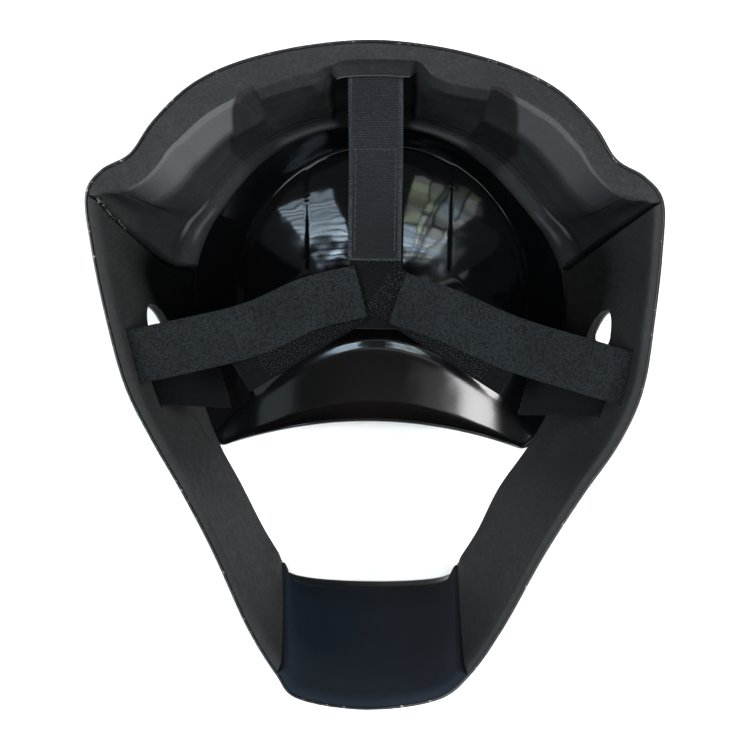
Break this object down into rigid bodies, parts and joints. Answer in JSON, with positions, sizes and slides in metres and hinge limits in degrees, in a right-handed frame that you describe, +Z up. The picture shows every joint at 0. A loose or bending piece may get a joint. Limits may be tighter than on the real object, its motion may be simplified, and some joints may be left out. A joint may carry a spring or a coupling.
{
  "type": "catcher mask",
  "caption": "Catcher's mask with a padded shell, hard forehead cap, open face and a three-strap head harness, lying on its face.",
  "frame": {"origin": "on the surface that the mask lies on, under the middle of its outline", "axes": "+Z up, from the face to the back of the head; +Y to the crown; +X to the wearer's right"},
  "size_m": [0.2586, 0.3168, 0.1283],
  "materials": {
    "skin": "satin black skin",
    "foam": "matte dark grey foam",
    "chin_foam": "matte blue-black foam",
    "cap": "high gloss black",
    "hook_pad": "hook tape, black",
    "webbing": "ribbed loop webbing, black"
  },
  "bodies": {
    "root": {"outer_skin": "skin", "forehead_pad": "foam", "left_side_pad": "foam", "right_side_pad": "foam", "chin_pad": "chin_foam", "forehead_cap": "cap", "harness_pad": "hook_pad", "top_strap": "webbing", "left_strap": "webbing", "right_strap": "webbing"}
  },
  "joints": []
}
